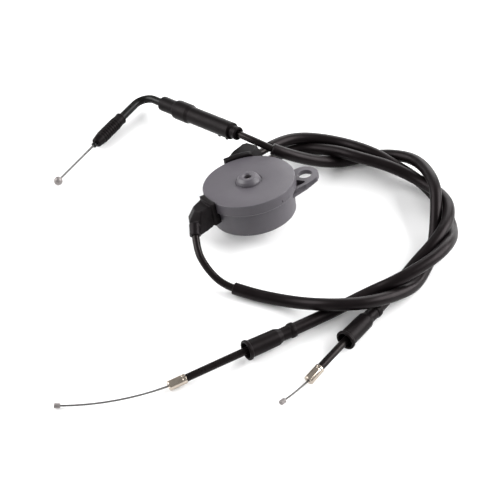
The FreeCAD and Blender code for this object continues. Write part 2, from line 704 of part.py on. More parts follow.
def make_output_end(name, route, run):
    """Boot, ferrule, bare wire and nipple of one output cable."""
    place, way = route.station(run, BOOT_RUN_STATIONS[name])
    boot = revolved(name + "_boot", [
        ("boot_ring_bore", "0"),
        ("boot_ring_radius - 0.3", "0"),
        ("boot_ring_radius", "0.3"),
        ("boot_ring_radius", "2.6"),
        ("boot_ring_radius - 0.2", "3.0"),
        ("boot_neck_radius", "3.6"),
        ("boot_neck_radius", "9.0"),
        ("boot_radius - 0.3", "11.8"),
        ("boot_radius", "13.0"),
        ("boot_radius", "boot_length - 2.5"),
        ("boot_lip_radius", "boot_length - 1.9"),
        ("boot_lip_radius", "boot_length - 0.4"),
        ("boot_lip_radius - 0.4", "boot_length"),
        ("boot_bell_bore + 0.5", "boot_length"),
        ("boot_bell_bore", "boot_length - 1.0"),
        ("boot_bell_bore", "15.0"),
        ("boot_neck_bore", "13.2"),
        ("boot_neck_bore", "2.5"),
        ("boot_ring_bore", "2.5"),
    ])
    boot.Placement = along(place, way)
    keep(boot, name + "_boot")
    print(f"{name}_boot_slide axis {way}")

    place, way = route.station(run + 1, FERRULE_STATIONS[name])
    shell = revolved(name + "_ferrule_shell", [
        ("socket_radius", "0"),
        ("ferrule_radius - 0.25", "0"),
        ("ferrule_radius", "0.4"),
        ("ferrule_radius", "ferrule_length - 0.5"),
        ("ferrule_radius - 0.4", "ferrule_length"),
        ("ferrule_mouth + 0.35", "ferrule_length"),
        ("ferrule_mouth", "ferrule_length - 0.4"),
        ("ferrule_mouth", "ferrule_seat"),
        ("socket_radius", "ferrule_seat"),
    ])
    shell.Placement = along(place, way)
    dimples = []
    for index in range(3):
        spin = Placement(Vector(0, 0, 3.0), Rotation(Vector(0, 0, 1), 120 * index + 40))
        side = Placement(Vector(2.75, 0, 0), Rotation(Vector(0, 1, 0), 90))
        dimples.append(cylinder(f"{name}_dimple{index}", "0.6", "1", shell.Placement * spin * side))
    keep(cut_from(name + "_ferrule_crimped", shell, dimples), name + "_ferrule")

    mouth = place + way * SIZES["ferrule_length"]
    nipple_spot = NIPPLES[name]
    bend = SIZES[name + "_wire_bend"]
    chord = nipple_spot - mouth
    away = unit(way - unit(chord) * way.dot(unit(chord)))
    centre = (mouth + nipple_spot) * 0.5 - away * math.sqrt(bend ** 2 - chord.Length ** 2 / 4)
    out, back = unit(nipple_spot - centre), unit(mouth - centre)
    axis = unit(out.cross(back))
    turn = math.degrees(out.getAngle(back)) + math.degrees(SIZES["wire_tail"] / bend)
    wire = doc.addObject("Part::Torus", name + "_wire_arc")
    bind(wire, Radius1=name + "_wire_bend", Radius2="wire_radius")
    wire.Angle3 = turn
    wire.Placement = Placement(centre, Rotation(out, axis.cross(out), axis, "ZXY"))
    keep(wire, name + "_wire")
    print(f"{name}_pull centre {centre} axis {axis} leaves the ferrule at "
          f"{math.degrees(way.getAngle(back.cross(axis))):.1f} degrees")

    nipple = revolved(name + "_nipple", [
        ("wire_radius + 0.02", "0"),
        ("nipple_radius - 0.3", "0"),
        ("nipple_radius", "0.3"),
        ("nipple_radius", "nipple_length - 0.3"),
        ("nipple_radius - 0.3", "nipple_length"),
        ("0", "nipple_length"),
        ("0", "nipple_length - 1.6"),
        ("wire_radius + 0.02", "nipple_length - 1.6"),
    ])
    outward = out.cross(axis)
    nipple.Placement = along(nipple_spot - outward * (SIZES["nipple_length"] / 2), outward)
    keep(nipple, name + "_nipple")


# ---------------------------------------------------------------- grip end

def bend_edges(start, corner, end, radius):
    """Two straight legs joined by an arc of the given radius."""
    way_in, way_out = unit(corner - start), unit(end - corner)
    turn = way_in.getAngle(way_out)
    setback = radius * math.tan(turn / 2)
    entry, leave = corner - way_in * setback, corner + way_out * setback
    middle = corner + unit(way_out - way_in) * (radius / math.cos(turn / 2) - radius)
    return [Part.LineSegment(start, entry).toShape(), Part.Arc(entry, middle, leave).toShape(),
            Part.LineSegment(leave, end).toShape()]


def make_elbow():
    path = bend_edges(on_leg(TIP_WAY, SIZES["elbow_tube_on_tip_leg"]), ELBOW_CORNER,
                      on_leg(BOOT_WAY, SIZES["elbow_tube_on_boot_leg"]), SIZES["elbow_bend"])
    tube("elbow_tube", path, "elbow_tube_radius", "casing_bore")

    corners = [
        ("elbow_tube_radius + 0.05", "0"),
        ("tip_collar_radius + 0.1", "0"),
        ("tip_collar_radius + 0.3", "0.3"),
        ("tip_collar_radius + 0.2", "1.0"),
        ("tip_collar_radius", "1.4"),
        ("tip_collar_radius + 0.1", "5.2"),
    ]
    for rib in range(8):
        start = 5.5 + 2.05 * rib
        corners += [
            ("tip_groove_radius", f"{start:.2f}"),
            ("tip_groove_radius", f"{start + 0.35:.2f}"),
            ("tip_rib_radius", f"{start + 0.6:.2f}"),
            ("tip_rib_radius", f"{start + 1.8:.2f}"),
        ]
    corners += [
        ("tip_groove_radius", "22.1"),
        ("tip_groove_radius", "22.6"),
        ("tip_nose_radius + 0.55", "23.2"),
        ("tip_nose_radius", "27.7"),
        ("tip_nose_radius - 0.4", "28.2"),
        ("cap_radius - 0.3", "28.2"),
        ("cap_radius - 0.3", "26.2"),
        ("wire_radius + 0.4", "26.2"),
        ("wire_radius + 0.4", "14.1"),
        ("elbow_tube_radius + 0.05", "14.1"),
    ]
    tip = revolved("elbow_tip", corners)
    tip.Placement = along(on_leg(TIP_WAY, SIZES["tip_start"]), TIP_WAY)
    keep(tip, "elbow_tip")

    cap = revolved("elbow_cap", [
        ("wire_radius + 0.2", "0"),
        ("cap_radius - 0.32", "0"),
        ("cap_radius - 0.32", "3.2"),
        ("cap_radius", "3.5"),
        ("cap_radius", "4.5"),
        ("cap_radius - 0.4", "4.8"),
        ("wire_radius + 0.2", "4.8"),
    ])
    cap.Placement = along(on_leg(TIP_WAY, SIZES["tip_start"] + 26.2), TIP_WAY)
    keep(cap, "elbow_cap")

    reach = (BALL - ELBOW_CORNER).Length - SIZES["grip_wire_inner_end"]
    start = on_leg(TIP_WAY, SIZES["grip_wire_inner_end"])
    keep(cylinder("grip_wire_bar", "wire_radius", f"{reach:.4f}", along(start, TIP_WAY)),
         "grip_wire")
    sphere = doc.addObject("Part::Sphere", "grip_ball_round")
    bind(sphere, Radius="ball_radius")
    sphere.Placement = along(BALL, TIP_WAY)
    drill = cylinder("grip_ball_bore", "wire_radius + 0.02", "6",
                     along(BALL - TIP_WAY * 6, TIP_WAY))
    keep(cut_from("grip_ball_bored", sphere, [drill]), "grip_ball")


def make_adjuster():
    start = along(on_leg(BOOT_WAY, SIZES["boot_start"]), BOOT_WAY)
    body = revolved("adjuster_boot", [
        ("4.0", "0"),
        ("big_boot_end_radius - 0.4", "0"),
        ("big_boot_end_radius", "0.5"),
        ("big_boot_end_radius", "14.5"),
        ("big_boot_step_radius - 0.4", "14.5"),
        ("big_boot_step_radius", "15.0"),
        ("big_boot_step_radius", "28.6"),
        ("big_boot_body_radius", "31.0"),
        ("big_boot_body_radius", "68.4"),
        ("big_boot_body_radius - 0.5", "69.2"),
        ("big_boot_neck_radius", "69.2"),
        ("big_boot_neck_radius", "72.4"),
        ("big_boot_neck_radius + 0.5", "72.8"),
        ("big_boot_neck_radius + 0.5", "74.6"),
        ("big_boot_neck_radius + 0.1", "75.0"),
        ("2.7", "75.0"),
        ("2.7", "66.0"),
        ("4.45", "64.5"),
        ("4.45", "29.5"),
        ("5.2", "28.0"),
        ("5.2", "16.0"),
        ("4.0", "14.0"),
    ])
    body.Placement = start
    # two small moulding nubs on the underside, near the cable
    nubs = []
    for index, place in enumerate((59.0, 66.0)):
        nub = cylinder(f"boot_nub{index}", "1.1", "6.5",
                       along(start.multVec(Vector(0, 0, place)),
                             unit(Vector(0, -1, -1) - BOOT_WAY * Vector(0, -1, -1).dot(BOOT_WAY))))
        nubs.append(nub)
    inner = cylinder("boot_nub_clearance", "5.0", "12",
                     start * Placement(Vector(0, 0, 56), Rotation()))
    lumps = cut_from("boot_nubs", joined("boot_nub_bars", nubs), [inner])
    keep(joined("adjuster_boot_whole", [body, lumps]), "adjuster_boot")

    screw = revolved("adjuster_screw", [
        ("elbow_tube_radius + 0.05", "0"),
        ("adjuster_radius", "0"),
        ("adjuster_radius", "25"),
        ("1.2", "25"),
        ("1.2", "elbow_tube_on_boot_leg - adjuster_start + 0.3"),
        ("elbow_tube_radius + 0.05", "elbow_tube_on_boot_leg - adjuster_start + 0.3"),
    ])
    screw.Placement = along(on_leg(BOOT_WAY, SIZES["adjuster_start"]), BOOT_WAY)
    keep(screw, "adjuster_screw")

    place = along(on_leg(BOOT_WAY, SIZES["nut_station"]), BOOT_WAY)
    hexagon = doc.addObject("Part::Prism", "nut_hexagon")
    hexagon.Polygon = 6
    hexagon.setExpression("Circumradius", "Sizes.nut_flat / cos(30)")
    bind(hexagon, Height="nut_height")
    hexagon.Placement = place
    bore = cylinder("nut_bore", "adjuster_radius + 0.05", "8",
                    place * Placement(Vector(0, 0, -2), Rotation()))
    keep(cut_from("nut_bored", hexagon, [bore]), "adjuster_nut")

    barrel = revolved("adjuster_barrel", [
        ("adjuster_radius + 0.05", "0"),
        ("barrel_body_radius", "0"),
        ("barrel_body_radius", "39.5"),
        ("socket_radius", "39.5"),
        ("socket_radius", "casing_seat - barrel_start - 0.1"),
        ("casing_bore", "casing_seat - barrel_start - 0.1"),
        ("casing_bore", "23.5"),
        ("adjuster_radius + 0.05", "23.5"),
    ])
    barrel.Placement = along(on_leg(BOOT_WAY, SIZES["barrel_start"]), BOOT_WAY)
    keep(barrel, "adjuster_barrel")


print("drum axis", DRUM.Rotation.multVec(Vector(0, 0, 1)), "tip way", TIP_WAY, "ball", BALL)
print("lug hole", DRUM.multVec(Vector(SIZES["lug_hole_x"], SIZES["lug_hole_y"],
                                      SIZES["lug_top"] - SIZES["lug_thickness"] / 2)))
make_cover()
make_housing()
make_pulley()
make_pin()
make_inner_wires()
make_plugs()
make_cables()
make_elbow()
make_adjuster()

# ---------------------------------------------------------------- check and write

doc.recompute()
for item in doc.Objects:
    if "Invalid" in item.State or "Error" in item.State:
        raise RuntimeError(f"{item.Label} failed: {item.State}")
os.makedirs("parts", exist_ok=True)
for node in nodes:
    if node.Shape.isNull() or not node.Shape.isValid():
        raise RuntimeError(f"{node.Label} has no valid shape")
    node.Shape.exportStep(f"parts/{node.Label}.step")
print(len(nodes), "sub-parts written")
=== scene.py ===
"""Looks of a throttle cable splitter set: a grey drum, one cable in and two cables out.

Everything is in metres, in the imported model's frame. Sizes of small features are named in
millimetres and multiplied by MM. Each turned piece is a profile of (radius, height, rounding)
corners, and each cable is a NURBS curve through the corners of its route.
"""
import json
import math

import bmesh
import bpy
import numpy as np
from mathutils import Matrix, Vector


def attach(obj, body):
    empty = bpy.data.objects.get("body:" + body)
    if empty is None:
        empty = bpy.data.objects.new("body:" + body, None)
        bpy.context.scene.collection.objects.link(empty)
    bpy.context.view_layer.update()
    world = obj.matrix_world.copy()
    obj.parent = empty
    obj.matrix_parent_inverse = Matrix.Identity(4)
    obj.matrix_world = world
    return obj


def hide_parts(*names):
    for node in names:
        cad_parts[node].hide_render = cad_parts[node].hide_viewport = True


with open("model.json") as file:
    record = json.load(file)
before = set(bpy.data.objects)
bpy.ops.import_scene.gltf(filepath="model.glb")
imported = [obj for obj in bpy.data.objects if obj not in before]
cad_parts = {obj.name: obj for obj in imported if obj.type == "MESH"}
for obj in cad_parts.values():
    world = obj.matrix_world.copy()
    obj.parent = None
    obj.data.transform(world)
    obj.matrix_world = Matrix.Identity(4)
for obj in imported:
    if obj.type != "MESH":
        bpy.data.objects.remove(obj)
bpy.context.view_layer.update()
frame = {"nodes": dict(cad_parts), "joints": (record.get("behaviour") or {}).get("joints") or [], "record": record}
nodes = frame["nodes"]
record = frame["record"]
scene = bpy.context.scene

MM = 0.001


def joint(name):
    return next(item for item in frame["joints"] if item["name"] == name)


def mount(name):
    return next(item for item in record["mounts"] if item["name"] == name)


# ---------------------------------------------------------------- camera, light and floor

LOOK_AT = Vector((-0.003, -0.0335, 0.0))
FLOOR_HALF = 3.0
FLOOR_GAP = 0.0002
CAMERA_AT = Vector((-0.003, -0.620, 0.629))


def make_camera():
    data = bpy.data.cameras.new("camera")
    data.lens = 100
    data.sensor_width = 36
    camera = bpy.data.objects.new("camera", data)
    camera.location = CAMERA_AT
    camera.rotation_euler = (LOOK_AT - CAMERA_AT).to_track_quat("-Z", "Y").to_euler()
    scene.collection.objects.link(camera)
    scene.camera = camera


def make_light(name, place, size, power, colour=(1, 1, 1)):
    data = bpy.data.lights.new(name, "AREA")
    data.shape = "SQUARE"
    data.size = size
    data.energy = power
    data.color = colour
    light = bpy.data.objects.new(name, data)
    light.location = place
    light.rotation_euler = (LOOK_AT - Vector(place)).to_track_quat("-Z", "Y").to_euler()
    scene.collection.objects.link(light)


def make_studio():
    world = bpy.data.worlds.new("studio")
    world.use_nodes = True
    background = world.node_tree.nodes["Background"]
    background.inputs["Color"].default_value = (1.0, 1.0, 1.0, 1)
    background.inputs["Strength"].default_value = 0.45
    scene.world = world
    scene.view_settings.view_transform = "Standard"
    make_light("left", (-1.15, 0.15, 0.70), 1.1, 24)
    make_light("right", (1.15, 0.10, 0.70), 1.1, 34)
    make_light("back", (0.35, 1.20, 0.50), 1.0, 12)

    mesh = bpy.data.meshes.new("floor")
    half = FLOOR_HALF
    corners = [(-half, -half, 0), (half, -half, 0), (half, half, 0), (-half, half, 0)]
    mesh.from_pydata(corners, [], [(0, 1, 2, 3)])
    floor = bpy.data.objects.new("floor", mesh)
    scene.collection.objects.link(floor)
    floor.location.z = -FLOOR_GAP
    material = bpy.data.materials.new("floor_white")
    material.use_nodes = True
    shader = material.node_tree.nodes["Principled BSDF"]
    shader.inputs["Base Color"].default_value = (0.93, 0.93, 0.93, 1)
    shader.inputs["Roughness"].default_value = 0.9
    shader.inputs["Specular IOR Level"].default_value = 0.1
    mesh.materials.append(material)


# ---------------------------------------------------------------- materials

class Finish:
    """A procedural material: a principled shader with the noise and bump that feed it."""

    def __init__(self, name, colour, roughness, metallic=0.0):
        self.material = bpy.data.materials.new(name)
        self.material.use_nodes = True
        self.tree = self.material.node_tree
        self.shader = self.tree.nodes["Principled BSDF"]
        self.shader.inputs["Metallic"].default_value = metallic
        self.shader.inputs["Base Color"].default_value = (*colour, 1)
        self.shader.inputs["Roughness"].default_value = roughness
        self.colour = colour
        self.roughness = roughness
        self.coordinates = self.tree.nodes.new("ShaderNodeTexCoord").outputs["Object"]
        self.normal = None

    def link(self, output, target):
        self.tree.links.new(output, target)

    def noise(self, scale, detail=3.0, stretch=(1, 1, 1)):
        """Noise in the object's frame. Scale counts features per metre."""
        mapping = self.tree.nodes.new("ShaderNodeMapping")
        mapping.inputs["Scale"].default_value = stretch
        self.link(self.coordinates, mapping.inputs["Vector"])
        texture = self.tree.nodes.new("ShaderNodeTexNoise")
        texture.inputs["Scale"].default_value = scale
        texture.inputs["Detail"].default_value = detail
        self.link(mapping.outputs["Vector"], texture.inputs["Vector"])
        return texture.outputs["Fac"]

    def spread(self, value, low, high, start=0.3, end=0.7):
        """A noise value mapped onto a range of numbers."""
        ranged = self.tree.nodes.new("ShaderNodeMapRange")
        ranged.inputs["From Min"].default_value = start
        ranged.inputs["From Max"].default_value = end
        ranged.inputs["To Min"].default_value = low
        ranged.inputs["To Max"].default_value = high
        self.link(value, ranged.inputs["Value"])
        return ranged.outputs["Result"]

    def sheen(self, level, tint=(1, 1, 1)):
        """How strongly the surface mirrors light, and the tint of what it mirrors."""
        self.shader.inputs["Specular IOR Level"].default_value = level
        self.shader.inputs["Specular Tint"].default_value = (*tint, 1)
        return self

    def mottle(self, scale, dark, light, detail=4.0):
        """The colour varies between two multiples of itself."""
        mix = self.tree.nodes.new("ShaderNodeMix")
        mix.data_type = "RGBA"
        mix.inputs["A"].default_value = (*[channel * dark for channel in self.colour], 1)
        mix.inputs["B"].default_value = (*[channel * light for channel in self.colour], 1)
        self.link(self.spread(self.noise(scale, detail), 0, 1), mix.inputs["Factor"])
        self.link(mix.outputs["Result"], self.shader.inputs["Base Color"])
        return self

    def uneven_gloss(self, scale, swing):
        value = self.spread(self.noise(scale), self.roughness - swing, self.roughness + swing)
        self.link(value, self.shader.inputs["Roughness"])
        return self

    def grain(self, value, depth):
        """Bump of a real depth in millimetres."""
        bump = self.tree.nodes.new("ShaderNodeBump")
        bump.inputs["Strength"].default_value = 1.0
        bump.inputs["Distance"].default_value = depth * MM
        self.link(value, bump.inputs["Height"])
        if self.normal is not None:
            self.link(self.normal, bump.inputs["Normal"])
        self.normal = bump.outputs["Normal"]
        self.link(self.normal, self.shader.inputs["Normal"])
        return self

    def hairlines(self, scale, depth, stretch):
        """Fine scratches: long thin noise, cut down to a few lines."""
        lines = self.spread(self.noise(scale, 2.0, stretch), 0, 1, 0.62, 0.68)
        return self.grain(lines, depth)


def drum_plastic():
    finish = Finish("drum_plastic", (0.071, 0.065, 0.075), 0.42)
    finish.sheen(0.38)
    finish.mottle(60, 0.94, 1.05).uneven_gloss(140, 0.05)
    finish.grain(finish.noise(2600, 2.0), 0.012)
    return finish.hairlines(180, 0.006, (1, 7, 1)).material


def block_plastic():
    finish = Finish("block_plastic", (0.0046, 0.0038, 0.0042), 0.42)
    finish.sheen(0.10, (1.0, 0.90, 0.93))
    finish.mottle(90, 0.8, 1.25).uneven_gloss(160, 0.06)
    finish.grain(finish.noise(2200, 2.0), 0.02)
    return finish.material


def casing_black():
    finish = Finish("casing_black", (0.0040, 0.0031, 0.0032), 0.28)
    finish.mottle(120, 0.8, 1.3).uneven_gloss(220, 0.05)
    finish.grain(finish.noise(420, 2.0), 0.02)
    finish.sheen(0.16, (1.0, 0.89, 0.87))
    return finish.material


def sleeve_black():
    finish = Finish("sleeve_black", (0.0044, 0.0033, 0.0035), 0.36)
    finish.sheen(0.12, (1.0, 0.88, 0.91))
    finish.mottle(80, 0.8, 1.3).uneven_gloss(150, 0.06)
    finish.grain(finish.noise(300, 2.0), 0.03)
    return finish.hairlines(150, 0.02, (1, 6, 1)).material


def boot_rubber():
    finish = Finish("boot_rubber", (0.0042, 0.0033, 0.0035), 0.40)
    finish.sheen(0.08, (1.0, 0.90, 0.92))
    finish.mottle(110, 0.8, 1.25).uneven_gloss(260, 0.06)
    finish.grain(finish.noise(1400, 3.0), 0.025)
    return finish.material


def elbow_metal():
    finish = Finish("elbow_metal", (0.0030, 0.0028, 0.0027), 0.30)
    finish.sheen(0.17)
    finish.mottle(140, 0.8, 1.3).uneven_gloss(300, 0.06)
    finish.grain(finish.noise(1800, 3.0), 0.012)
    return finish.material


def plated_steel():
    finish = Finish("plated_steel", (0.46, 0.40, 0.34), 0.20, metallic=1.0)
    finish.mottle(260, 0.86, 1.06).uneven_gloss(420, 0.06)
    finish.grain(finish.noise(700, 3.0), 0.02)
    return finish.material


def wire_steel():
    finish = Finish("wire_steel", (0.19, 0.185, 0.18), 0.38, metallic=1.0)
    finish.mottle(500, 0.8, 1.1).uneven_gloss(900, 0.08)
    return finish.material


def cast_nipple():
    finish = Finish("cast_nipple", (0.24, 0.22, 0.215), 0.45, metallic=0.7)
    finish.mottle(450, 0.75, 1.15).uneven_gloss(600, 0.1)
    finish.grain(finish.noise(1500, 4.0), 0.05)
    return finish.material


def pulley_plastic():
    finish = Finish("pulley_plastic", (0.66, 0.65, 0.60), 0.4)
    finish.mottle(120, 0.95, 1.03)
    finish.grain(finish.noise(1500, 2.0), 0.01)
    return finish.material


MATERIALS = {make.__name__: make() for make in (
    drum_plastic, block_plastic, casing_black, sleeve_black, boot_rubber, elbow_metal,
    plated_steel, wire_steel, cast_nipple, pulley_plastic)}


# ---------------------------------------------------------------- making pieces

def new_piece(name, mesh, slot, body, replaced=()):
    """Finish a piece: material, body to ride on, and the CAD nodes that it stands for."""
    piece = bpy.data.objects.new(name, mesh)
    scene.collection.objects.link(piece)
    piece.data.materials.append(MATERIALS[slot])
    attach(piece, body)
    if replaced:
        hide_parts(*replaced)
    return piece


def rounded(profile, steps=5):
    """A closed outline of (radius, height[, rounding]) corners with its corners turned on arcs."""
    outline = []
    count = len(profile)
    for index, corner in enumerate(profile):
        here = Vector(corner[:2])
        rounding = corner[2] if len(corner) > 2 else 0.0
        before = Vector(profile[index - 1][:2]) - here
        after = Vector(profile[(index + 1) % count][:2]) - here
        if rounding <= 0 or before.length < 1e-6 or after.length < 1e-6:
            outline.append(here)
            continue
        half = before.angle(after) / 2
        if half > math.pi / 2 - 0.02:
            outline.append(here)
            continue
        setback = min(rounding / math.tan(half), 0.48 * before.length, 0.48 * after.length)
        radius = setback * math.tan(half)
        start = here + before.normalized() * setback
        end = here + after.normalized() * setback
        centre = here + (before.normalized() + after.normalized()).normalized() * (
            radius / math.sin(half))
        for step in range(steps + 1):
            share = step / steps
            way = (start - centre).lerp(end - centre, share)
            outline.append(centre + way.normalized() * radius)
    return outline


def lathe(name, profile, place, slot, body, replaced=(), sides=72, sharp=30):
    """A turned piece: the outline goes round place's Z axis. Radii and heights are in mm."""
    outline = rounded(profile)
    mesh = bpy.data.meshes.new(name)
    work = bmesh.new()
    rings = []
    for point in outline:
        if point.x < 1e-4:
            rings.append([work.verts.new((0, 0, point.y * MM))])
            continue
        ring = []
        for side in range(sides):
            turn = math.tau * side / sides
            ring.append(work.verts.new((point.x * math.cos(turn) * MM,
                                        point.x * math.sin(turn) * MM, point.y * MM)))
        rings.append(ring)
    for ring, following in zip(rings, rings[1:] + rings[:1]):
        for side in range(sides):
            nearby = (side + 1) % sides
            if len(ring) == 1 and len(following) == 1:
                break
            if len(ring) == 1:
                work.faces.new((ring[0], following[side], following[nearby]))
            elif len(following) == 1:
                work.faces.new((ring[side], following[0], ring[nearby]))
            else:
                work.faces.new((ring[side], following[side], following[nearby], ring[nearby]))
    finish_mesh(work, mesh, sharp)
    mesh.transform(place)
    return new_piece(name, mesh, slot, body, replaced)


def finish_mesh(work, mesh, sharp=30):
    """Outward faces, smooth shading and sharp edges where the shape turns."""
    bmesh.ops.recalc_face_normals(work, faces=work.faces)
    work.to_mesh(mesh)
    work.free()
    mesh.shade_smooth()
    mesh.set_sharp_from_angle(angle=math.radians(sharp))


def along(place, way, spin=Vector((0, 0, 1))):
    """A matrix at place whose Z axis is way."""
    aim = Vector(way).normalized()
    across = Vector(spin).cross(aim)
    if across.length < 1e-6:
        across = Vector((1, 0, 0))
    across.normalize()
    up = aim.cross(across)
    matrix = Matrix((across, up, aim)).transposed().to_4x4()
    matrix.translation = place
    return matrix


class Line:
    """A smooth line of points with its stations, directions and a steady sideways direction."""

    def __init__(self, points):
        self.points = np.array(points, float)
        gaps = np.linalg.norm(np.diff(self.points, axis=0), axis=1)
        keep = np.r_[True, gaps > 1e-8]
        self.points = self.points[keep]
        gaps = np.linalg.norm(np.diff(self.points, axis=0), axis=1)
        self.stations = np.r_[0, np.cumsum(gaps)]
        self.length = float(self.stations[-1])
        ways = np.gradient(self.points, self.stations, axis=0)
        self.ways = ways / np.linalg.norm(ways, axis=1)[:, None]
        side = np.cross(self.ways[0], (0, 0, 1))
        sides = [side / np.linalg.norm(side)]
        for way in self.ways[1:]:
            side = sides[-1] - way * float(sides[-1] @ way)
            sides.append(side / np.linalg.norm(side))
        self.sides = np.array(sides)

    def at(self, station):
        """Point, direction and sideways direction at a station."""
        found = [np.array([np.interp(station, self.stations, table[:, axis])
                           for axis in range(3)])
                 for table in (self.points, self.ways, self.sides)]
        point, way, side = found
        way = way / np.linalg.norm(way)
        side = side - way * float(side @ way)
        return point, way, side / np.linalg.norm(side)

    def nearest(self, place):
        """The station nearest a point."""
        gaps = np.linalg.norm(self.points - np.array(place), axis=1)
        return float(self.stations[gaps.argmin()])


def sweep(name, line, profile, slot, body, replaced=(), sides=32, spacing=1.6, sharp=35):
    """A skin round a line from a closed list of (station, radius) corners, in metres."""
    outline = []
    for (start, first), (end, second) in zip(profile, profile[1:] + profile[:1]):
        steps = max(1, int(abs(end - start) / (spacing * MM)))
        for step in range(steps):
            share = step / steps
            outline.append((start + (end - start) * share, first + (second - first) * share))
    work = bmesh.new()
    rings = []
    for station, radius in outline:
        point, way, side = line.at(station)
        lift = np.cross(way, side)
        ring = []
        for index in range(sides):
            turn = math.tau * index / sides
            ring.append(work.verts.new(
                point + (side * math.cos(turn) + lift * math.sin(turn)) * radius))
        rings.append(ring)
    for ring, following in zip(rings, rings[1:] + rings[:1]):
        for index in range(sides):
            nearby = (index + 1) % sides
            work.faces.new((ring[index], following[index], following[nearby], ring[nearby]))
    mesh = bpy.data.meshes.new(name)
    finish_mesh(work, mesh, sharp)
    return new_piece(name, mesh, slot, body, replaced)


def strands(name, line, start, end, slot, body, replaced, radius, count=6, pitch=7.0):
    """A stranded wire: a core and outer strands laid round it in a long helix."""
    strand = radius / 3 * 1.03
    work = bmesh.new()
    steps = max(8, int((end - start) / (0.45 * MM)))
    sides = 7
    for number in range(count + 1):
        lay = 0.0 if number == count else radius - strand
        rings = []
        for step in range(steps + 1):
            station = start + (end - start) * step / steps
            point, way, side = line.at(station)
            lift = np.cross(way, side)
            turn = math.tau * (number / count + (station - start) / (pitch * MM))
            centre = point + (side * math.cos(turn) + lift * math.sin(turn)) * lay * MM
            ring = []
            for index in range(sides):
                angle = math.tau * index / sides + turn
                ring.append(work.verts.new(
                    centre + (side * math.cos(angle) + lift * math.sin(angle)) * strand * MM))
            rings.append(ring)
        for ring, following in zip(rings, rings[1:]):
            for index in range(sides):
                nearby = (index + 1) % sides
                work.faces.new((ring[index], following[index], following[nearby],
                                ring[nearby]))
        work.faces.new(rings[0])
        work.faces.new(list(reversed(rings[-1])))
    mesh = bpy.data.meshes.new(name)
    finish_mesh(work, mesh, 60)
    return new_piece(name, mesh, slot, body, replaced)


def softened(name, node, slot, body, voxel, passes):
    """A moulded look for a CAD block: its edges are rounded by remeshing and smoothing."""
    mesh = nodes[node].data.copy()
    mesh.materials.clear()
    piece = bpy.data.objects.new(name + "_work", mesh)
    scene.collection.objects.link(piece)
    remesh = piece.modifiers.new("remesh", "REMESH")
    remesh.mode = "VOXEL"
    remesh.voxel_size = voxel * MM
    smooth = piece.modifiers.new("smooth", "SMOOTH")
    smooth.factor = 0.5
    smooth.iterations = passes
    thin = piece.modifiers.new("thin", "DECIMATE")
    thin.ratio = 0.35
    graph = bpy.context.evaluated_depsgraph_get()
    made = bpy.data.meshes.new_from_object(piece.evaluated_get(graph))
    bpy.data.objects.remove(piece)
    made.shade_smooth()
    return new_piece(name, made, slot, body, (node,))


# ---------------------------------------------------------------- cable routes

# The corners of the three routes, in metres. They are the CAD part's, and a few of them are moved
# by some millimetres, so that the sleeves lie against each other.
GRIP_ROUTE = [
    (-0.0364, -0.0351, 0.0209), (-0.0355, -0.0475, 0.0155), (-0.0290, -0.0585, 0.0105),
    (-0.0195, -0.0665, 0.0050), (-0.0035, -0.0725, 0.0040), (0.0090, -0.0765, 0.0040),
    (0.0255, -0.0820, 0.0060), (0.0440, -0.0910, 0.0145), (0.0660, -0.0910, 0.0160),
    (0.0905, -0.0750, 0.0085), (0.1000, -0.0615, 0.0038), (0.1100, -0.0375, 0.0040),
    (0.1125, -0.0150, 0.0165), (0.1130, 0.0035, 0.0225), (0.1060, 0.0310, 0.0150),
    (0.0920, 0.0440, 0.0085), (0.0725, 0.0470, 0.0040), (0.0505, 0.0396, 0.0038),
    (0.0180, 0.0260, 0.0255), (-0.0047, 0.0349, 0.0317), (-0.0213, 0.0512, 0.0259),
]
CARB_ROUTE = [
    (-0.0005, 0.0326, 0.0172), (0.0116, 0.0452, 0.0158), (0.0280, 0.0565, 0.0125),
    (0.0515, 0.0570, 0.0090), (0.0750, 0.0415, 0.0140), (0.0900, 0.0340, 0.0090),
    (0.1090, 0.0220, 0.0038), (0.1200, -0.0005, 0.0040), (0.1235, -0.0190, 0.0040),
    (0.1185, -0.0440, 0.0185), (0.1062, -0.0597, 0.0200), (0.0850, -0.0733, 0.0168),
    (0.0675, -0.0750, 0.0070), (0.0415, -0.0895, 0.0038), (-0.0070, -0.1200, 0.0070),
    (-0.0470, -0.1405, 0.0034),
]
PUMP_ROUTE = [
    (0.0010, 0.0306, 0.0082), (0.0116, 0.0435, 0.0076), (0.0303, 0.0540, 0.0048),
    (0.0525, 0.0440, 0.0120), (0.0665, 0.0345, 0.0150), (0.0875, 0.0270, 0.0140),
    (0.1060, 0.0170, 0.0105), (0.1205, -0.0020, 0.0140), (0.1200, -0.0235, 0.0185),
    (0.1100, -0.0420, 0.0175), (0.0960, -0.0540, 0.0090), (0.0805, -0.0745, 0.0038),
    (0.0475, -0.1170, 0.0070), (0.0315, -0.1360, 0.0036),
]
CASING_DIAMETER = 4.6
SLEEVE_RADIUS = 3.8
SLEEVE_BORE = 2.42


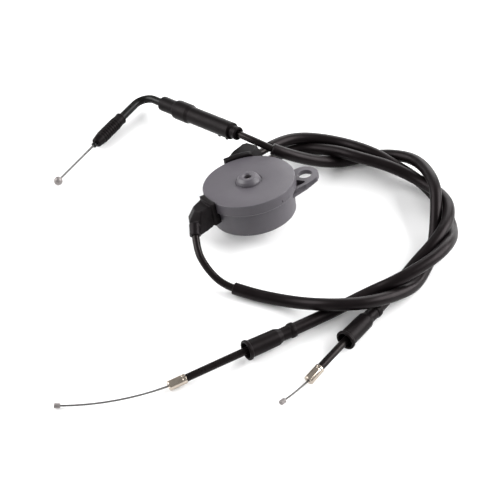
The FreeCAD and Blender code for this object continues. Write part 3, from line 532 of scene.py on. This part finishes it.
def make_cord(name, route, node):
    """A cable's casing as one smooth NURBS curve, and the line read from it."""
    curve = bpy.data.curves.new(name, "CURVE")
    curve.dimensions = "3D"
    curve.resolution_u = 16
    spline = curve.splines.new("NURBS")
    spline.points.add(len(route) - 1)
    for point, corner in zip(spline.points, route):
        point.co = (*corner, 1)
    spline.order_u = 3
    spline.use_endpoint_u = True
    bare = bpy.data.objects.new(name + "_line", curve)
    scene.collection.objects.link(bare)
    graph = bpy.context.evaluated_depsgraph_get()
    mesh = bpy.data.meshes.new_from_object(bare.evaluated_get(graph))
    line = Line([vertex.co[:] for vertex in mesh.vertices])
    bpy.data.objects.remove(bare)
    bpy.data.meshes.remove(mesh)
    curve.bevel_depth = CASING_DIAMETER / 2 * MM
    curve.bevel_resolution = 7
    curve.use_fill_caps = True
    return new_piece(name, curve, "casing_black", "splitter", (node,)), line


grip_cord, grip_line = make_cord("grip_cable", GRIP_ROUTE, "grip_casing")
carb_cord, carb_line = make_cord("carb_cable", CARB_ROUTE, "carb_casing")
pump_cord, pump_line = make_cord("pump_cable", PUMP_ROUTE, "pump_casing")


def make_sleeve(name, line, start, end, node):
    """The thicker tube over a casing, from the point start to the point end."""
    first, last = line.nearest(start), line.nearest(end)
    lip = 0.35 * MM
    outer, bore = SLEEVE_RADIUS * MM, SLEEVE_BORE * MM
    profile = [
        (first + lip, outer), (last - lip, outer), (last, outer - lip), (last, bore + 0.2 * MM),
        (last - 0.2 * MM, bore), (first + 0.2 * MM, bore), (first, bore + 0.2 * MM),
        (first, outer - lip),
    ]
    return sweep(name, line, profile, "sleeve_black", "splitter", (node,))


def on_run(route, run, distance):
    """A point on a route's run, in mm from its first corner, and the run's direction."""
    first, second = Vector(route[run]), Vector(route[run + 1])
    way = (second - first).normalized()
    return first + way * (distance * MM), way


CARB_BOOT = on_run(CARB_ROUTE, 13, 22.5)
PUMP_BOOT = on_run(PUMP_ROUTE, 11, 13.9)
CARB_FERRULE = on_run(CARB_ROUTE, 14, 36.5)
PUMP_FERRULE = on_run(PUMP_ROUTE, 12, 16.6)

grip_sleeve = make_sleeve("grip_cable_sleeve", grip_line, (-0.0130, -0.0687, 0.0046),
                          (0.0113, 0.0300, 0.0270), "grip_sleeve")
carb_sleeve = make_sleeve("carb_cable_sleeve", carb_line, (0.0095, 0.0440, 0.0160),
                          CARB_BOOT[0] + CARB_BOOT[1] * 2.0 * MM, "carb_sleeve")
pump_sleeve = make_sleeve("pump_cable_sleeve", pump_line, (0.0140, 0.0430, 0.0078),
                          PUMP_BOOT[0] + PUMP_BOOT[1] * 2.0 * MM, "pump_sleeve")


# ---------------------------------------------------------------- output cable ends

FERRULE_LENGTH = 11
WIRE_RADIUS = 0.6
GRIP_WIRE_RADIUS = 0.72

def make_boot(name, place, body, node):
    profile = [
        (4.15, 0, 0.3), (4.5, 0, 0.4), (4.65, 1.4, 0.6), (4.5, 3.0, 0.4), (4.0, 3.5, 0.3),
        (3.95, 9.0, 1.2), (5.1, 12.2, 1.6), (5.25, 22, 0), (5.35, 30.4, 0.6), (6.15, 31.2, 0.5),
        (6.2, 32.9, 0.55), (4.9, 33, 0.3), (4.45, 31.6, 0.4), (4.4, 15, 1.0), (2.9, 13.2, 0.6),
        (2.9, 2.5, 0.1), (4.15, 2.5, 0.1),
    ]
    return lathe(name, profile, along(*place), "boot_rubber", body, (node,))


def make_ferrule(name, place, node):
    profile = [
        (2.35, 0, 0.1), (2.95, 0, 0.25), (3.0, 1.1, 0.1), (2.9, 1.5, 0.2), (2.9, 2.0, 0.2),
        (3.0, 2.4, 0.1), (3.0, 10.9, 0.6), (1.5, 11, 0.2), (1.25, 10.6, 0.1), (1.25, 8.7, 0.1),
        (2.35, 8.7, 0),
    ]
    ferrule = lathe(name, profile, along(*place), "plated_steel", "splitter", (node,), sides=60)
    dent_dimples(ferrule, along(*place))
    return ferrule


def dent_dimples(piece, place):
    """Press three crimp dimples into a ferrule's side."""
    inverse = place.inverted()
    for vertex in piece.data.vertices:
        local = inverse @ vertex.co
        radius = math.hypot(local.x, local.y)
        if radius < 2.7 * MM:
            continue
        for index in range(3):
            turn = math.radians(120 * index + 40)
            aside = (local.x * -math.sin(turn) + local.y * math.cos(turn)) / MM
            ahead = (local.x * math.cos(turn) + local.y * math.sin(turn)) / MM
            gap = math.hypot(aside, local.z / MM - 3.9)
            if ahead > 0 and gap < 0.9:
                depth = 0.45 * (1 - (gap / 0.9) ** 2) * MM
                pressed = Vector((local.x, local.y, 0)) * (1 - depth / radius)
                vertex.co = place @ Vector((pressed.x, pressed.y, local.z))


def wire_line(name, mouth):
    """A bare output wire at rest: an arc about its joint's centre, from inside the ferrule."""
    hinge = joint(name + "_pull")
    centre = Vector(hinge["pos_m"])
    axis = Vector(hinge["axis"]).normalized()
    nipple = Vector(mount(name + "_nipple_end")["pos_m"])
    out = nipple - centre
    spin = math.atan2(axis.dot(out.cross(mouth - centre)), out.dot(mouth - centre))
    reach = spin + 3.5 * MM / out.length
    steps = 160
    points = [centre + Matrix.Rotation(reach * step / steps, 3, axis) @ out
              for step in range(steps, -1, -1)]
    return Line([point[:] for point in points])


def make_output_end(name, boot_place, ferrule_place):
    boot = make_boot(name + "_cover_boot", boot_place, name + "_cover", name + "_boot")
    ferrule = make_ferrule(name + "_end_ferrule", ferrule_place, name + "_ferrule")
    place, way = ferrule_place
    line = wire_line(name, place + way * FERRULE_LENGTH * MM)
    body = name + "_end"
    strands(name + "_bare_wire", line, 0.0, line.length, "wire_steel", body, (name + "_wire",),
            WIRE_RADIUS)
    end, outward, _ = line.at(line.length)
    nipple_place = along(Vector(end) - Vector(outward) * 1.8 * MM, Vector(outward))
    profile = [
        (0, 0), (0.7, 0, 0), (1.42, 0.05, 0.35), (1.5, 0.5, 0.1), (1.5, 3.1, 0.1),
        (1.42, 3.55, 0.35), (0.8, 3.6, 0.1), (0.55, 3.35, 0.2), (0, 3.3),
    ]
    lathe(name + "_wire_nipple", profile, nipple_place, "cast_nipple", body,
          (name + "_nipple",), sides=40)
    return boot, ferrule


carb_boot, carb_ferrule = make_output_end("carb", CARB_BOOT, CARB_FERRULE)
pump_boot, pump_ferrule = make_output_end("pump", PUMP_BOOT, PUMP_FERRULE)


# ---------------------------------------------------------------- grip end

ELBOW_CORNER = Vector((-0.0755, 0.1042, 0.0070))
BALL = Vector(mount("grip_ball_end")["pos_m"])
TIP_WAY = (BALL - ELBOW_CORNER).normalized()
BOOT_WAY = (Vector((-0.0081, 0.0383, 0.0305)) - ELBOW_CORNER).normalized()


def on_leg(way, station):
    return along(ELBOW_CORNER + way * (station * MM), way)


def make_elbow_tip():
    profile = [(2.8, 0, 0.1), (3.9, 0, 0.3), (4.2, 0.4, 0.3), (4.0, 1.2, 0.3), (3.9, 3.0, 0),
               (4.05, 5.2, 0.25)]
    for rib in range(8):
        start = 5.5 + 2.05 * rib
        profile += [(3.8, start, 0.15), (3.8, start + 0.4, 0.15),
                    (4.3, start + 0.65, 0.22), (4.3, start + 1.8, 0.22)]
    profile += [(3.85, 22.1, 0.1), (3.85, 22.7, 0.1), (4.0, 23.2, 0.2), (3.35, 27.7, 0.5),
                (2.9, 28.2, 0.3), (1.5, 28.2, 0.1), (1.5, 26.2, 0), (2.8, 26.2, 0)]
    lathe("grip_elbow_tip", profile, on_leg(TIP_WAY, 26), "boot_rubber", "splitter",
          ("elbow_tip",), sides=64)
    cap = [(0.8, 0, 0), (1.45, 0, 0), (1.45, 2.9, 0.2), (1.8, 3.4, 0.25), (1.8, 4.6, 0.35),
           (1.3, 4.85, 0.2), (0.8, 4.8, 0.1)]
    lathe("grip_elbow_cap", cap, on_leg(TIP_WAY, 52.2), "elbow_metal", "splitter",
          ("elbow_cap",), sides=40)


def make_grip_end():
    start = ELBOW_CORNER + TIP_WAY * 32 * MM
    line = Line([start.lerp(BALL, step / 40)[:] for step in range(41)])
    strands("grip_bare_wire", line, 0.0, line.length, "wire_steel", "grip_end", ("grip_wire",),
            GRIP_WIRE_RADIUS)
    size = 2.85
    ball = [(0, -size)]
    for step in range(1, 24):
        turn = math.pi * step / 24
        ball.append((size * math.sin(turn), -size * math.cos(turn)))
    ball.append((0, size))
    lathe("grip_ball_nipple", ball, along(BALL, -TIP_WAY), "cast_nipple", "grip_end",
          ("grip_ball",), sides=48)


def make_adjuster_boot():
    profile = [
        (4.0, 1.4, 0.2), (5.0, 1.4, 0.4), (5.05, 3.0, 0.3), (4.95, 15.9, 0.4), (6.3, 16.0, 0.5),
        (6.5, 17.6, 0.4), (6.5, 28.4, 0.9), (5.6, 31.0, 0.8), (5.6, 68.6, 0.6), (5.2, 69.2, 0.3),
        (3.95, 69.3, 0.25), (3.95, 72.2, 0.3), (4.4, 72.9, 0.35), (4.4, 74.8, 0.5),
        (2.7, 75.0, 0.3), (2.7, 66.0, 0), (4.45, 64.5, 0), (4.45, 29.5, 0), (5.2, 28.0, 0),
        (5.2, 16.0, 0), (4.0, 14.0, 0),
    ]
    boot = lathe("grip_adjuster_boot", profile, on_leg(BOOT_WAY, 19), "boot_rubber", "splitter",
                 ("adjuster_boot",), sides=80)
    under = Vector((0, -1, -1))
    under = (under - BOOT_WAY * under.dot(BOOT_WAY)).normalized()
    for index, station in enumerate((59.0, 66.0)):
        place = ELBOW_CORNER + BOOT_WAY * ((19 + station) * MM) + under * 5.2 * MM
        nub = [(0, 0), (1.1, 0, 0), (1.05, 0.8, 0.3), (0.7, 1.2, 0.3), (0, 1.3)]
        lathe(f"grip_boot_nub{index}", nub, along(place, under, BOOT_WAY), "boot_rubber",
              "splitter", sides=24)
    return boot


make_elbow_tip()
make_grip_end()
adjuster_boot = make_adjuster_boot()


# ---------------------------------------------------------------- drum

def drum_frame():
    """The drum's own frame: Z along the pin, X and Y as the CAD part's drum has them."""
    spin = joint("pulley_spin")
    origin, up = Vector(spin["pos_m"]), Vector(spin["axis"]).normalized()
    to_hole = Vector(mount("lug_hole")["pos_m"]) - origin
    to_hole = (to_hole - up * to_hole.dot(up)).normalized()
    hole_turn = math.atan2(7.1, 35.3)
    across = Matrix.Rotation(-hole_turn, 3, up) @ to_hole
    matrix = Matrix((across, up.cross(across), up)).transposed().to_4x4()
    matrix.translation = origin
    return matrix


DRUM = drum_frame()


def make_cover():
    profile = [
        (2.35, 21.3, 0), (27.15, 21.3, 0), (27.15, 15.8, 0.1), (28.5, 15.8, 0.15),
        (28.65, 16.4, 0.1), (29.0, 16.75, 0.15), (29.0, 23.4, 0.55), (20.0, 23.52, 0),
        (8.6, 23.5, 0.25), (8.3, 23.1, 0.15), (7.7, 23.1, 0.15), (7.6, 24.2, 0.5),
        (6.9, 25.6, 0.8), (5.3, 27.15, 0.7), (3.1, 27.2, 0.35), (2.35, 26.4, 0.2),
    ]
    lathe("drum_lid", profile, DRUM, "drum_plastic", "splitter", ("drum_cover",), sides=160)
    nub = [(0, 0), (0.7, 0, 0), (0.65, 0.3, 0.15), (0.4, 0.5, 0.15), (0, 0.55)]
    turn = math.atan2(-22.8, 18.3)
    outward = Vector((math.cos(turn), math.sin(turn), 0))
    place = DRUM @ Vector((outward.x * 28.9 * MM, outward.y * 28.9 * MM, 18.2 * MM))
    lathe("drum_lid_nub", nub, along(place, DRUM.to_3x3() @ outward), "drum_plastic",
          "splitter", sides=24)


def make_cup():
    profile = [
        (2.27, 1.0, 0.1), (4.6, 1.0, 0), (4.6, 0, 0.2), (26.3, 0, 0.7), (27.0, 15.4, 0),
        (27.0, 21.0, 0.3), (25.0, 21.0, 0.3), (24.6, 2.2, 0.5), (6.0, 2.2, 0.2), (6.0, 6.2, 0.2),
        (2.27, 6.2, 0.1),
    ]
    lathe("drum_cup", profile, DRUM, "drum_plastic", "splitter", ("drum_housing",), sides=160)


def make_plate(name, loops, bottom, top, edge, slot, body, rise=0.0):
    """A flat plate of the drum with rounded edges: an outline first, and then its holes.

    The underside is at bottom where local X is 0, and rises with X by rise.
    """
    work = bmesh.new()
    edges = []
    for loop in loops:
        corners = [work.verts.new((px * MM, py * MM, (bottom + rise * px) * MM))
                   for px, py in loop]
        for first, second in zip(corners, corners[1:] + corners[:1]):
            edges.append(work.edges.new((first, second)))
    bmesh.ops.triangle_fill(work, edges=edges, use_beauty=True)
    pushed = bmesh.ops.extrude_face_region(work, geom=work.faces[:])
    for item in pushed["geom"]:
        if isinstance(item, bmesh.types.BMVert):
            item.co.z = top * MM
    bmesh.ops.recalc_face_normals(work, faces=work.faces)
    mesh = bpy.data.meshes.new(name)
    work.to_mesh(mesh)
    work.free()
    mesh.transform(DRUM)
    piece = new_piece(name, mesh, slot, body)
    bevel = piece.modifiers.new("edges", "BEVEL")
    bevel.width = edge * MM
    bevel.segments = 4
    bevel.limit_method = "ANGLE"
    bevel.angle_limit = math.radians(40)
    mesh.shade_smooth()
    mesh.set_sharp_from_angle(angle=math.radians(35))
    return piece


LUG_OUTLINE = [
    (22.5, 12.0, 0), (27.2, 14.3, 6), (35.2, 16.6, 6), (40.9, 13.8, 5), (43.6, 9.8, 5),
    (43.9, 5.0, 5), (42.2, 0.6, 4), (34.7, -5.0, 3), (24.5, -10.0, 0), (23.0, 0, 0),
]


def make_lug():
    hole = [(35.3 + 4.45 * math.cos(math.tau * step / 64),
             7.1 + 4.45 * math.sin(math.tau * step / 64)) for step in range(64)]
    pocket = rounded([(28.6, 1.4, 0.4), (29.6, 1.8, 0.4), (33.6, -0.6, 0.5), (34.1, -2.3, 0.5),
                      (28.2, -5.4, 0.4)], 4)
    make_plate("drum_lug", [rounded(LUG_OUTLINE, 8), hole, pocket], 12.7, 15.7, 0.5,
               "drum_plastic", "splitter")
    rib = [(42.9, 2.4, 0.5), (42.2, 0.6, 2), (34.7, -5.0, 3), (24.5, -10.0, 0),
           (24.0, -8.2, 0), (33.9, -3.4, 2), (41.4, 2.4, 0.5)]
    make_plate("drum_lug_rib", [rounded(rib, 6)], 7.2, 15.6, 0.4, "drum_plastic", "splitter",
               rise=0.13)
    floor = [(27.0, 5.0), (30.0, 4.4), (36.4, 0.6), (35.0, -4.0), (27.0, -8.0)]
    make_plate("drum_lug_pocket", [floor], 11.8, 12.8, 0.2, "drum_plastic", "splitter")


make_cover()
make_cup()
make_lug()
softened("drum_input_block", "input_plug", "block_plastic", "splitter", 0.4, 6)
softened("drum_output_block", "output_plug", "block_plastic", "splitter", 0.4, 6)

for item in record["subparts"]:
    node = nodes[item["node"]]
    node.data.materials.clear()
    node.data.materials.append(MATERIALS[item["material_slot"]])

make_camera()
make_studio()
